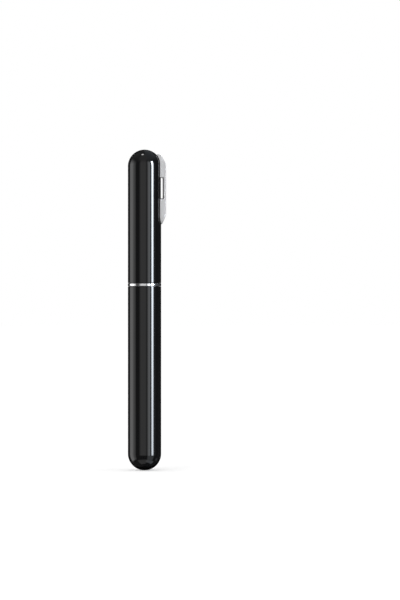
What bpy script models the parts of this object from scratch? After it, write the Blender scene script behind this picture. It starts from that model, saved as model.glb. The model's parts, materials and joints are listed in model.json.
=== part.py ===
"""Air pump wine opener: a slim hand pump that blows air through a cork with a hollow needle.

The pump's axis is +Z. Z is zero at the small flat on the handle's dome, the cap over
the needle is on top, and the side clip points to +X. All lengths are in metres.
"""
import math

import bmesh
import bpy
from mathutils import Vector

# Outside of the opener
BODY_RADIUS = 0.0110
SHELL_WALL = 0.0014
HANDLE_LENGTH = 0.12175
RING_HEIGHT = 0.00175
RING_WIDTH = 0.0028
CAP_LENGTH = 0.0886
END_FLAT_RADIUS = 0.0015

# Clearances between pieces
SEAM_GAP = 0.0003
SEAT_GAP = 0.0003
RUN_GAP = 0.0003
CAP_GRIP_GAP = 0.00025
CAP_LIFT_SPARE = 0.0133
LIP_GAP = 0.00015

# Small roundings and chamfers
MOUTH_EDGE = 0.0003
PART_EDGE = 0.0002
LEAD_IN = 0.0008

# Clip on the cap
CLIP_LENGTH = 0.0463
CLIP_DROP = 0.0031
CLIP_PROUD = 0.0029
CLIP_WIDTH = 0.0110
CLIP_TOP_WIDTH = 0.0066
CLIP_TOP_SETBACK = 0.0034
CLIP_TOP_SLOPE = 0.0064
CLIP_END_SLOPE = 0.0059
CLIP_TAPER_START = 0.0068
CLIP_TAPER_END = 0.0008
CLIP_END_ROUND = 0.0055
CLIP_ROOT_LENGTH = 0.0154
CLIP_EDGE = 0.0005
CLIP_FLEX = math.radians(4)
BAR_THICKNESS = 0.0015
WINDOW_LENGTH = 0.0139
WINDOW_ROUND = 0.0007
RELIEF_DEPTH = 0.0007
TONGUE_WIDTH = 0.0018
TONGUE_HEIGHT = 0.0026
TONGUE_SPACING = 0.0044
BARB_LENGTH = 0.0009
BARB_HEIGHT = 0.0005

# Handle's inside
SOCKET_FLOOR = 0.0080
SOCKET_WALL = 0.0016
ANCHOR_LENGTH = 0.0117
ANCHOR_WALL = 0.0011
ANCHOR_GROOVE = 0.0004
RIB_WALL = 0.0012
RIB_DROP = 0.0050
BUSH_LENGTH = 0.0125
BUSH_WALL = 0.0015
VENT_RADIUS = 0.0006

# Barrel and its end piece
BARREL_WALL = 0.0011
FLANGE_HEIGHT = 0.0020
GLAND_CLEARANCE = 0.0040
GLAND_FLOOR = 0.0037
GLAND_HEIGHT = 0.0100
BUMPER_HEIGHT = 0.0020

# Rod and piston
ROD_RADIUS = 0.0025
ROD_TAIL_RADIUS = 0.0019
ROD_TAIL_CLEARANCE = 0.0013
ROD_SPIGOT_RADIUS = 0.0020
PISTON_HEIGHT = 0.0040
CUP_FLOOR = 0.0010
CUP_LIP = 0.0008
CUP_HEIGHT = 0.0034
WASHER_THICKNESS = 0.0010
SCREW_RADIUS = 0.0012
SCREW_LENGTH = 0.0120
SCREW_HEAD_RADIUS = 0.0026
SCREW_HEAD_HEIGHT = 0.0018
SCREW_SLOT = 0.0007
DEAD_GAP = 0.0006

# Needle seat
BOSS_LENGTH = 0.00775
SPIGOT_HEIGHT = 0.0117
CAP_SEAL_RADIUS = 0.0005
CAP_SEAL_HEIGHT = 0.0058
BARREL_SEAL_RADIUS = 0.00045
BARREL_SEAL_HEIGHT = 0.0034

# Check valve
BALL_RADIUS = 0.00125
PORT_RADIUS = 0.0006
PORT_MOUTH_RADIUS = 0.0010
PORT_MOUTH_DEPTH = 0.0004
VALVE_SEAT_RADIUS = 0.0021
VALVE_SEAT_HEIGHT = 0.0027
VALVE_LIFT = 0.0008
SPRING_RADIUS = 0.0011
SPRING_WIRE = 0.00015
SPRING_LENGTH = 0.0057

# Needle, its hub and nut
NEEDLE_RADIUS = 0.0011
NEEDLE_BORE = 0.0006
TIP_LENGTH = 0.0045
TIP_CLEARANCE = 0.0052
SIDE_HOLE_RADIUS = 0.0004
SIDE_HOLE_DROP = 0.0024
HUB_LEDGE = 0.0013
HUB_LEDGE_BORE = 0.0008
HUB_WALL = 0.0008
HUB_FLANGE_WIDTH = 0.0016
HUB_FLANGE_HEIGHT = 0.0025
HUB_RISE = 0.0008
HUB_CONE = 0.0012
HUB_WASHER_THICKNESS = 0.0008
HUB_WASHER_BORE = 0.0022
NUT_RECESS = 0.0003
NUT_SLOT_WIDTH = 0.0010
NUT_SLOT_DEPTH = 0.0009

# Mesh detail
SHELL_STEPS = 40
CORE_STEPS = 32
SMALL_STEPS = 24
DOME_STEPS = 9
INNER_DOME_STEPS = 6
SEAL_STEPS = 6
BALL_STEPS = 16
ROUND_STEPS = 4
END_STEPS = 9
SPRING_TURNS = 5
SPRING_TURN_POINTS = 8
END_POWER = 2.5
RIB_COUNT = 4
VENT_COUNT = 4
ANCHOR_GROOVE_COUNT = 2
SHARP_ANGLE = math.radians(35)
MERGE_DISTANCE = 0.000001
CUT_OVERRUN = 0.0010

# Radii, from the outside inwards
shell_bore = BODY_RADIUS - SHELL_WALL
slider_radius = shell_bore - RUN_GAP
bush_bore = slider_radius - BUSH_WALL
barrel_radius = bush_bore - RUN_GAP
barrel_bore = barrel_radius - BARREL_WALL
boss_radius = barrel_bore - SEAT_GAP
ring_bore = BODY_RADIUS - RING_WIDTH
neck_radius = ring_bore - SEAT_GAP
spigot_radius = shell_bore - CAP_GRIP_GAP
rod_hole = ROD_RADIUS + RUN_GAP
tail_hole = ROD_TAIL_RADIUS + SEAT_GAP
anchor_radius = tail_hole + ANCHOR_WALL
socket_radius = anchor_radius + SEAT_GAP
socket_outer = socket_radius + SOCKET_WALL
screw_hole = SCREW_RADIUS + SEAT_GAP
needle_hole = NEEDLE_RADIUS + SEAT_GAP
hub_radius = needle_hole + HUB_WALL
hub_flange_radius = hub_radius + HUB_FLANGE_WIDTH
nut_bore = hub_radius + SEAT_GAP
counterbore = hub_flange_radius + SEAT_GAP
valve_bore = VALVE_SEAT_RADIUS + SEAT_GAP

# Heights of the ring and of what is above it
ring_top = HANDLE_LENGTH + RING_HEIGHT
handle_mouth = HANDLE_LENGTH - SEAM_GAP
cap_mouth = ring_top + SEAM_GAP
cap_top = ring_top + CAP_LENGTH
cap_dome = cap_top - BODY_RADIUS
seat_face = cap_mouth + SPIGOT_HEIGHT

# Heights of the handle's inside, from its dome up
handle_dome = math.sqrt(BODY_RADIUS ** 2 - END_FLAT_RADIUS ** 2)
anchor_bottom = SOCKET_FLOOR + SEAT_GAP
socket_top = anchor_bottom + ANCHOR_LENGTH
rod_bottom = socket_top + SEAT_GAP
gland_bottom = socket_top + GLAND_CLEARANCE
barrel_bottom = gland_bottom + GLAND_FLOOR + SEAT_GAP
gland_top = gland_bottom + GLAND_HEIGHT
bumper_bottom = gland_top + SEAT_GAP
bumper_top = bumper_bottom + BUMPER_HEIGHT

# Heights of the pump, from the ring down
flange_top = HANDLE_LENGTH - SEAT_GAP
flange_bottom = flange_top - FLANGE_HEIGHT
bush_top = flange_bottom - RUN_GAP
bush_bottom = bush_top - BUSH_LENGTH
boss_bottom = HANDLE_LENGTH - BOSS_LENGTH
screw_top = boss_bottom - DEAD_GAP
screw_seat = screw_top - SCREW_HEAD_HEIGHT
washer_top = screw_seat - SEAT_GAP
washer_bottom = washer_top - WASHER_THICKNESS
cup_bottom = washer_bottom - SEAT_GAP - CUP_FLOOR
piston_top = cup_bottom - SEAT_GAP
piston_bottom = piston_top - PISTON_HEIGHT
rod_shoulder = piston_bottom - SEAT_GAP
rod_top = piston_top - SEAT_GAP
pump_stroke = bush_bottom - bumper_top - RUN_GAP

# Heights of the check valve and the needle, from the boss up
valve_seat_bottom = boss_bottom + SEAT_GAP
valve_seat_top = valve_seat_bottom + VALVE_SEAT_HEIGHT
ball_centre = valve_seat_top + math.sqrt((BALL_RADIUS + SEAT_GAP) ** 2 - PORT_MOUTH_RADIUS ** 2)
spring_bottom = ball_centre + BALL_RADIUS + SEAT_GAP
spring_top = spring_bottom + SPRING_LENGTH
hub_bottom = spring_top + SEAT_GAP
hub_washer_bottom = hub_bottom - SEAT_GAP - HUB_WASHER_THICKNESS
counterbore_floor = hub_washer_bottom - SEAT_GAP
hub_flange_top = hub_bottom + HUB_FLANGE_HEIGHT
hub_shoulder = seat_face + HUB_RISE
hub_top = hub_shoulder + HUB_CONE
nut_bottom = hub_flange_top + SEAT_GAP
nut_top = seat_face - NUT_RECESS
needle_bottom = hub_bottom + HUB_LEDGE + SEAT_GAP
needle_tip = cap_top - SHELL_WALL - TIP_CLEARANCE
needle_shoulder = needle_tip - TIP_LENGTH
side_hole_height = needle_shoulder - SIDE_HOLE_DROP
cap_travel = needle_tip - cap_mouth + CAP_LIFT_SPARE

# Places on the clip
clip_top = cap_top - CLIP_DROP
clip_bottom = clip_top - CLIP_LENGTH
clip_face = BODY_RADIUS + CLIP_PROUD
clip_inner = BODY_RADIUS + SEAT_GAP
bar_inner = clip_face - BAR_THICKNESS
window_top = clip_top - CLIP_ROOT_LENGTH
window_bottom = window_top - WINDOW_LENGTH
flex_height = window_top - WINDOW_ROUND - SEAT_GAP / 2
flex_depth = (bar_inner + clip_face) / 2
tongue_bottom = (window_top + cap_dome - TONGUE_HEIGHT) / 2
tongue_top = tongue_bottom + TONGUE_HEIGHT
tongue_side = (TONGUE_SPACING + TONGUE_WIDTH) / 2
barb_face = math.sqrt(shell_bore ** 2 - tongue_side ** 2) - SEAT_GAP
tongue_end = barb_face - BARB_LENGTH

# Surface looks: colour, roughness, metallic
GLOSS_BLACK = ((0.0045, 0.0045, 0.005), 0.06, 0.0)
CLIP_GREY = ((0.55, 0.55, 0.56), 0.55, 0.0)
SATIN_BLACK = ((0.025, 0.025, 0.027), 0.40, 0.0)
NYLON = ((0.74, 0.74, 0.70), 0.50, 0.0)
CHROME = ((0.86, 0.86, 0.87), 0.08, 1.0)
STEEL = ((0.62, 0.62, 0.63), 0.25, 1.0)
ALUMINIUM = ((0.76, 0.77, 0.78), 0.35, 1.0)
BRASS = ((0.72, 0.50, 0.22), 0.30, 1.0)
RUBBER = ((0.030, 0.030, 0.031), 0.75, 0.0)


def clear_scene():
    """Remove every object, so that only the opener is in the file."""
    for item in list(bpy.data.objects):
        bpy.data.objects.remove(item, do_unlink=True)


def add_collection(name):
    """A new collection, linked to the scene."""
    collection = bpy.data.collections.new(name)
    bpy.context.scene.collection.children.link(collection)
    return collection


def add_frame(name, position, travel=0):
    """An empty on a joint's axis, which carries one body and states how far that body moves."""
    frame = bpy.data.objects.new(name, None)
    frame.empty_display_size = BODY_RADIUS
    frame.location = position
    frame["travel"] = travel
    pieces.objects.link(frame)
    return frame


def place(item, frame, position=(0, 0, 0)):
    """Hang an object on a body's empty, at a place given in the part's own frame."""
    item.parent = frame
    item.location = Vector(position) - frame.location


def dress(piece, look):
    """Give a piece its own material."""
    color, roughness, metallic = look
    material = bpy.data.materials.new(piece.name + "_material")
    material.use_nodes = True
    shader = material.node_tree.nodes["Principled BSDF"]
    shader.inputs["Base Color"].default_value = (*color, 1)
    shader.inputs["Roughness"].default_value = roughness
    shader.inputs["Metallic"].default_value = metallic
    piece.data.materials.clear()
    piece.data.materials.append(material)


def smooth(mesh):
    """Shade a mesh smooth, with its real edges kept sharp."""
    mesh.shade_smooth()
    mesh.set_sharp_from_angle(angle=SHARP_ANGLE)


def settled_mesh(item):
    """Closed mesh of what an object shows, after which the object is removed."""
    evaluated = item.evaluated_get(bpy.context.evaluated_depsgraph_get())
    mesh = bpy.data.meshes.new_from_object(evaluated)
    bpy.data.objects.remove(item, do_unlink=True)
    shape = bmesh.new()
    shape.from_mesh(mesh)
    bmesh.ops.remove_doubles(shape, verts=shape.verts, dist=MERGE_DISTANCE)
    bmesh.ops.recalc_face_normals(shape, faces=shape.faces)
    shape.to_mesh(mesh)
    shape.free()
    smooth(mesh)
    return mesh


def arc(radius, centre, start, end, steps):
    """Points (across, up) on an arc about a centre on the axis, between two angles."""
    angles = [start + (end - start) * step / steps for step in range(steps + 1)]
    return [(radius * math.cos(angle), centre + radius * math.sin(angle)) for angle in angles]


def washer_section(outer, inner, bottom, top):
    """Section of a flat ring, from its top down the outside and up the bore."""
    return [(outer, top), (outer, bottom), (inner, bottom), (inner, top)]


def ring_section(outer, inner, bottom, top, edge=PART_EDGE):
    """Section of a ring with chamfered edges, from its top down the outside and up the bore."""
    outside = [(outer - edge, top), (outer, top - edge), (outer, bottom + edge), (outer - edge, bottom)]
    bore = [(inner + edge, bottom), (inner, bottom + edge), (inner, top - edge), (inner + edge, top)]
    return outside + bore


def turned_mesh(name, outline, steps):
    """Mesh of an outline of (radius, height) points turned about Z.

    An outline that starts and ends on the axis closes there. Any other is a ring's section.
    """
    edges = [(index, index + 1) for index in range(len(outline) - 1)]
    if outline[0][0] or outline[-1][0]:
        edges.append((len(outline) - 1, 0))
    profile = bpy.data.meshes.new(name)
    profile.from_pydata([(radius, 0, height) for radius, height in outline], edges, [])
    item = bpy.data.objects.new(name, profile)
    pieces.objects.link(item)
    screw = item.modifiers.new("Turn", "SCREW")
    screw.axis = "Z"
    screw.angle = math.tau
    screw.steps = steps
    screw.render_steps = steps
    screw.use_merge_vertices = True
    screw.merge_threshold = MERGE_DISTANCE
    return settled_mesh(item)


def turned(name, outline, steps, look, frame):
    """A turned piece, with its own origin at its foot on the axis."""
    foot = min(height for _, height in outline)
    mesh = turned_mesh(name, [(radius, height - foot) for radius, height in outline], steps)
    piece = bpy.data.objects.new(name, mesh)
    pieces.objects.link(piece)
    place(piece, frame, (0, 0, foot))
    dress(piece, look)
    return piece


def seal_ring(name, radius, section, height, look, frame):
    """A torus lying square to the axis."""
    bpy.ops.mesh.primitive_torus_add(major_radius=radius, minor_radius=section,
                                     major_segments=CORE_STEPS, minor_segments=SEAL_STEPS)
    piece = bpy.context.object
    piece.name = name
    bpy.context.collection.objects.unlink(piece)
    pieces.objects.link(piece)
    place(piece, frame, (0, 0, height))
    smooth(piece.data)
    dress(piece, look)
    return piece


def plate_mesh(name, outline, thickness, edge=0):
    """Closed mesh of a flat outline of (x, y) points, with the thickness centred on Z."""
    curve = bpy.data.curves.new(name, "CURVE")
    curve.dimensions = "2D"
    curve.fill_mode = "BOTH"
    curve.extrude = thickness / 2 - edge
    curve.bevel_depth = edge
    curve.offset = -edge
    curve.bevel_resolution = ROUND_STEPS // 2
    spline = curve.splines.new("POLY")
    spline.points.add(len(outline) - 1)
    for point, (across, up) in zip(spline.points, outline):
        point.co = (across, up, 0, 1)
    spline.use_cyclic_u = True
    item = bpy.data.objects.new(name, curve)
    cutters.objects.link(item)
    return settled_mesh(item)


def block_mesh(name, size):
    """Mesh of a box of a size, centred on its origin."""
    shape = bmesh.new()
    bmesh.ops.create_cube(shape, size=1)
    bmesh.ops.scale(shape, vec=size, verts=shape.verts)
    mesh = bpy.data.meshes.new(name)
    shape.to_mesh(mesh)
    shape.free()
    return mesh


def drill_mesh(name, radius, length):
    """Mesh of a cylinder along Z, centred on its origin."""
    shape = bmesh.new()
    bmesh.ops.create_cone(shape, cap_ends=True, segments=SMALL_STEPS // 2,
                          radius1=radius, radius2=radius, depth=length)
    mesh = bpy.data.meshes.new(name)
    shape.to_mesh(mesh)
    shape.free()
    return mesh


def add_tool(name, mesh, frame, position, rotation=(0, 0, 0)):
    """A shape that only cuts or completes others, so it is shown as wire and never rendered."""
    tool = bpy.data.objects.new(name, mesh)
    tool.hide_render = True
    tool.display_type = "WIRE"
    cutters.objects.link(tool)
    place(tool, frame, position)
    tool.rotation_euler = rotation
    return tool


def combine(piece, operation, tool):
    """Cut a piece with a tool, keep what they share, or join them."""
    boolean = piece.modifiers.new(tool.name, "BOOLEAN")
    boolean.operation = operation
    boolean.solver = "EXACT"
    boolean.object = tool


def past(start, end):
    """The point a little beyond the end of a line, so that a cut runs out of the piece."""
    line = Vector(end) - Vector(start)
    reached = Vector(end) + line.normalized() * CUT_OVERRUN
    return tuple(reached)


def span(low, high):
    """Length and middle of a stretch."""
    return high - low, (low + high) / 2


def handle_shell(frame):
    """Long shell with a domed end, and a ribbed boss inside it for the rod's anchor."""
    middle = shell_bore + SHELL_WALL / 2
    outline = [(0, SOCKET_FLOOR), (socket_radius, SOCKET_FLOOR), (socket_radius, socket_top)]
    outline.append((socket_outer, socket_top))
    outline += arc(shell_bore, handle_dome, -math.acos(socket_outer / shell_bore), 0, INNER_DOME_STEPS)
    outline += [(shell_bore, handle_mouth - MOUTH_EDGE), (shell_bore + MOUTH_EDGE, handle_mouth)]
    outline += [(BODY_RADIUS - MOUTH_EDGE, handle_mouth), (BODY_RADIUS, handle_mouth - MOUTH_EDGE)]
    outline += arc(BODY_RADIUS, handle_dome, 0, -math.acos(END_FLAT_RADIUS / BODY_RADIUS), DOME_STEPS)
    outline.append((0, outline[-1][1]))
    piece = turned("handle_shell", outline, SHELL_STEPS, GLOSS_BLACK, frame)

    rib_inner = (socket_radius + socket_outer) / 2
    rib_top = socket_top - RIB_DROP
    rib = arc(middle, handle_dome, -math.acos(rib_inner / middle), 0, INNER_DOME_STEPS)
    rib += [(middle, rib_top), (rib_inner, rib_top)]
    mesh = plate_mesh("handle_rib", rib, RIB_WALL)
    for index in range(RIB_COUNT):
        turn = math.tau * (index + 1 / 2) / RIB_COUNT
        tool = add_tool(f"handle_rib_{index}", mesh, frame, (0, 0, 0), (math.pi / 2, 0, turn))
        combine(piece, "UNION", tool)
    return piece


def rod_anchor(frame):
    """Brass insert in the handle's boss, grooved so that the plastic holds it."""
    groove = ANCHOR_LENGTH / (2 * ANCHOR_GROOVE_COUNT + 1)
    outline = [(anchor_radius, socket_top)]
    for index in range(ANCHOR_GROOVE_COUNT):
        upper = socket_top - groove * (2 * index + 1)
        lower = upper - groove
        outline += [(anchor_radius, upper), (anchor_radius - ANCHOR_GROOVE, upper)]
        outline += [(anchor_radius - ANCHOR_GROOVE, lower), (anchor_radius, lower)]
    outline += [(anchor_radius, anchor_bottom), (tail_hole, anchor_bottom), (tail_hole, socket_top)]
    return turned("rod_anchor", outline, SMALL_STEPS, BRASS, frame)


def piston_rod(frame):
    """Rod with a tail for the anchor, and a spigot and threaded hole for the piston."""
    hole_bottom = screw_seat - SCREW_LENGTH - SEAT_GAP
    tail_end = SOCKET_FLOOR + ROD_TAIL_CLEARANCE
    outline = [(0, hole_bottom), (screw_hole, hole_bottom), (screw_hole, rod_top)]
    outline += [(ROD_SPIGOT_RADIUS, rod_top), (ROD_SPIGOT_RADIUS, rod_shoulder)]
    outline += [(ROD_RADIUS, rod_shoulder), (ROD_RADIUS, rod_bottom)]
    outline += [(ROD_TAIL_RADIUS, rod_bottom), (ROD_TAIL_RADIUS, tail_end), (0, tail_end)]
    return turned("piston_rod", outline, SMALL_STEPS, STEEL, frame)


def piston(frame):
    """Piston body under the cup seal."""
    section = ring_section(boss_radius, ROD_SPIGOT_RADIUS + SEAT_GAP, piston_bottom, piston_top)
    return turned("piston", section, CORE_STEPS, NYLON, frame)


def piston_cup(frame):
    """Cup seal whose lip points to the needle and wipes the barrel."""
    lip = barrel_bore - LIP_GAP
    outline = [(lip, cup_bottom + CUP_HEIGHT), (boss_radius - PART_EDGE, cup_bottom + CUP_FLOOR)]
    outline += [(boss_radius - CUP_LIP, cup_bottom), (screw_hole, cup_bottom)]
    outline += [(screw_hole, cup_bottom + CUP_FLOOR), (boss_radius - CUP_LIP, cup_bottom + CUP_FLOOR)]
    outline.append((lip - CUP_LIP, cup_bottom + CUP_HEIGHT))
    return turned("piston_cup", outline, CORE_STEPS, RUBBER, frame)


def piston_washer(frame):
    """Backing washer inside the cup."""
    outer = boss_radius - CUP_LIP - SEAT_GAP
    section = washer_section(outer, screw_hole, washer_bottom, washer_top)
    return turned("piston_washer", section, CORE_STEPS, STEEL, frame)


def piston_screw(frame):
    """Slotted screw that clamps washer, cup and piston to the rod."""
    outline = [(0, screw_top), (SCREW_HEAD_RADIUS - PART_EDGE, screw_top)]
    outline += [(SCREW_HEAD_RADIUS, screw_top - PART_EDGE), (SCREW_HEAD_RADIUS, screw_seat)]
    outline += [(SCREW_RADIUS, screw_seat), (SCREW_RADIUS, screw_seat - SCREW_LENGTH)]
    outline.append((0, screw_seat - SCREW_LENGTH))
    piece = turned("piston_screw", outline, SMALL_STEPS, STEEL, frame)
    slot = block_mesh("screw_slot", (2 * (SCREW_HEAD_RADIUS + CUT_OVERRUN), SCREW_SLOT, SCREW_HEAD_HEIGHT))
    combine(piece, "DIFFERENCE", add_tool("screw_slot", slot, frame, (0, 0, screw_top)))
    return piece


def handle_bush(frame):
    """Guide ring in the handle's mouth: it slides on the barrel, and its flutes let air out."""
    section = ring_section(slider_radius, bush_bore, bush_bottom, bush_top, MOUTH_EDGE)
    piece = turned("handle_bush", section, SHELL_STEPS, NYLON, frame)
    length, middle = span(bush_bottom, bush_top)
    mesh = drill_mesh("bush_flute", VENT_RADIUS, length + 2 * CUT_OVERRUN)
    for index in range(VENT_COUNT):
        turn = math.tau * (index + 1 / 2) / VENT_COUNT
        spot = (bush_bore * math.cos(turn), bush_bore * math.sin(turn), middle)
        combine(piece, "DIFFERENCE", add_tool(f"bush_flute_{index}", mesh, frame, spot))
    return piece


def barrel(frame):
    """Pump tube, with a flange that is clamped under the ring."""
    outline = [(slider_radius, flange_top), (slider_radius, flange_bottom), (barrel_radius, flange_bottom)]
    outline += [(barrel_radius, barrel_bottom + PART_EDGE), (barrel_radius - PART_EDGE, barrel_bottom)]
    outline += [(barrel_bore + PART_EDGE, barrel_bottom), (barrel_bore, barrel_bottom + PART_EDGE)]
    outline.append((barrel_bore, flange_top))
    return turned("barrel", outline, SHELL_STEPS, ALUMINIUM, frame)


def barrel_gland(frame):
    """Screwed end of the barrel: it guides the rod and slides in the handle."""
    cup = barrel_radius + SEAT_GAP
    floor = gland_bottom + GLAND_FLOOR
    outline = [(slider_radius, gland_top), (slider_radius, gland_bottom + MOUTH_EDGE)]
    outline += [(slider_radius - MOUTH_EDGE, gland_bottom), (rod_hole, gland_bottom)]
    outline += [(rod_hole, floor), (cup, floor), (cup, gland_top)]
    piece = turned("barrel_gland", outline, SHELL_STEPS, NYLON, frame)
    length, middle = span(gland_bottom, floor)
    ring = (rod_hole + barrel_bore) / 2
    mesh = drill_mesh("gland_vent", VENT_RADIUS, length + 2 * CUT_OVERRUN)
    for index in range(VENT_COUNT):
        turn = math.tau * (index + 1 / 2) / VENT_COUNT
        spot = (ring * math.cos(turn), ring * math.sin(turn), middle)
        combine(piece, "DIFFERENCE", add_tool(f"gland_vent_{index}", mesh, frame, spot))
    return piece


def stroke_bumper(frame):
    """Rubber washer round the barrel, on which the bush lands at the end of the pull."""
    section = washer_section(slider_radius, barrel_radius + SEAT_GAP, bumper_bottom, bumper_top)
    return turned("stroke_bumper", section, SHELL_STEPS, RUBBER, frame)


def accent_ring(frame):
    """Polished ring, clamped between the barrel's flange and the needle seat."""
    section = ring_section(BODY_RADIUS, ring_bore, HANDLE_LENGTH, ring_top)
    return turned("accent_ring", section, SHELL_STEPS, CHROME, frame)


def seal_groove(radius, section, height):
    """Corners of a groove for a ring seal, down the outside of a spigot."""
    floor = radius - 2 * section - SEAT_GAP
    half = section + SEAT_GAP
    return [(radius, height + half), (floor, height + half), (floor, height - half), (radius, height - half)]


def needle_seat(frame):
    """Spigot for the cap, neck through the ring, and boss that screws into the barrel."""
    outline = [(spigot_radius - LEAD_IN, seat_face), (spigot_radius, seat_face - LEAD_IN)]
    outline += seal_groove(spigot_radius, CAP_SEAL_RADIUS, cap_mouth + CAP_SEAL_HEIGHT)
    outline += [(spigot_radius, cap_mouth), (neck_radius, cap_mouth), (neck_radius, HANDLE_LENGTH)]
    outline.append((boss_radius, HANDLE_LENGTH))
    outline += seal_groove(boss_radius, BARREL_SEAL_RADIUS, boss_bottom + BARREL_SEAL_HEIGHT)
    outline += [(boss_radius, boss_bottom + PART_EDGE), (boss_radius - PART_EDGE, boss_bottom)]
    outline += [(valve_bore, boss_bottom), (valve_bore, counterbore_floor)]
    outline += [(counterbore, counterbore_floor), (counterbore, seat_face)]
    return turned("needle_seat", outline, SHELL_STEPS, SATIN_BLACK, frame)


def cap_o_ring(frame):
    """Seal that grips the cap's bore and holds the cap on."""
    centre = spigot_radius - CAP_SEAL_RADIUS + CAP_GRIP_GAP - LIP_GAP
    height = cap_mouth + CAP_SEAL_HEIGHT
    return seal_ring("cap_o_ring", centre, CAP_SEAL_RADIUS, height, RUBBER, frame)


def barrel_o_ring(frame):
    """Seal between the seat's boss and the barrel."""
    centre = barrel_bore - LIP_GAP - BARREL_SEAL_RADIUS
    height = boss_bottom + BARREL_SEAL_HEIGHT
    return seal_ring("barrel_o_ring", centre, BARREL_SEAL_RADIUS, height, RUBBER, frame)


def valve_seat(frame):
    """Brass seat of the check valve, with a coned mouth for the ball."""
    mouth = valve_seat_top - PORT_MOUTH_DEPTH
    outline = [(VALVE_SEAT_RADIUS, valve_seat_top), (VALVE_SEAT_RADIUS, valve_seat_bottom)]
    outline += [(PORT_RADIUS, valve_seat_bottom), (PORT_RADIUS, mouth)]
    outline.append((PORT_MOUTH_RADIUS, valve_seat_top))
    return turned("valve_seat", outline, SMALL_STEPS, BRASS, frame)


def valve_ball(frame):
    """Ball that lets air up to the needle and stops it on the pull."""
    shape = bmesh.new()
    bmesh.ops.create_uvsphere(shape, u_segments=BALL_STEPS, v_segments=BALL_STEPS // 2, radius=BALL_RADIUS)
    mesh = bpy.data.meshes.new("valve_ball")
    shape.to_mesh(mesh)
    shape.free()
    smooth(mesh)
    piece = bpy.data.objects.new("valve_ball", mesh)
    pieces.objects.link(piece)
    place(piece, frame, (0, 0, ball_centre))
    dress(piece, STEEL)
    return piece


def valve_spring(frame):
    """Light coil between the ball and the needle's hub, with its end turns laid close."""
    steps = SPRING_TURNS * SPRING_TURN_POINTS
    radius = SPRING_RADIUS - SPRING_WIRE
    rise = SPRING_LENGTH - 2 * SPRING_WIRE
    curve = bpy.data.curves.new("valve_spring", "CURVE")
    curve.dimensions = "3D"
    curve.bevel_depth = SPRING_WIRE
    curve.bevel_resolution = 1
    curve.use_fill_caps = True
    spline = curve.splines.new("POLY")
    spline.points.add(steps)
    for step, point in enumerate(spline.points):
        turn = math.tau * step / SPRING_TURN_POINTS
        up = SPRING_WIRE + rise * step / steps
        point.co = (radius * math.cos(turn), radius * math.sin(turn), up, 1)
    piece = bpy.data.objects.new("valve_spring", curve)
    pieces.objects.link(piece)
    place(piece, frame, (0, 0, spring_bottom))
    dress(piece, STEEL)
    return piece


def hub_washer(frame):
    """Seal under the hub's flange."""
    section = washer_section(hub_flange_radius, HUB_WASHER_BORE, hub_washer_bottom, hub_bottom - SEAT_GAP)
    return turned("hub_washer", section, SMALL_STEPS, RUBBER, frame)


def needle_hub(frame):
    """Brass hub that carries the needle, with a flange under the nut and a coned top."""
    ledge = hub_bottom + HUB_LEDGE
    outline = [(needle_hole + PART_EDGE, hub_top), (hub_radius, hub_shoulder), (hub_radius, hub_flange_top)]
    outline += [(hub_flange_radius, hub_flange_top), (hub_flange_radius, hub_bottom)]
    outline += [(HUB_LEDGE_BORE, hub_bottom), (HUB_LEDGE_BORE, ledge), (needle_hole, ledge)]
    outline.append((needle_hole, hub_top))
    return turned("needle_hub", outline, SMALL_STEPS, BRASS, frame)


def clamp_nut(frame):
    """Round nut with a driver slot across it, which clamps the hub in the seat."""
    section = ring_section(hub_flange_radius, nut_bore, nut_bottom, nut_top)
    piece = turned("clamp_nut", section, CORE_STEPS, BRASS, frame)
    slot_size = (2 * (hub_flange_radius + CUT_OVERRUN), NUT_SLOT_WIDTH, 2 * NUT_SLOT_DEPTH)
    slot = block_mesh("nut_slot", slot_size)
    combine(piece, "DIFFERENCE", add_tool("nut_slot", slot, frame, (0, 0, nut_top)))
    return piece


def needle(frame):
    """Hollow needle with a closed point, which blows through two side holes."""
    outline = [(0, needle_tip), (NEEDLE_RADIUS, needle_shoulder), (NEEDLE_RADIUS, needle_bottom)]
    outline += [(NEEDLE_BORE, needle_bottom), (NEEDLE_BORE, needle_shoulder - NEEDLE_RADIUS)]
    outline.append((0, needle_shoulder - NEEDLE_RADIUS))
    piece = turned("needle", outline, SMALL_STEPS, STEEL, frame)
    drill = drill_mesh("side_hole", SIDE_HOLE_RADIUS, 2 * (NEEDLE_RADIUS + CUT_OVERRUN))
    tool = add_tool("side_hole", drill, frame, (0, 0, side_hole_height), (math.pi / 2, 0, 0))
    combine(piece, "DIFFERENCE", tool)
    return piece


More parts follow.
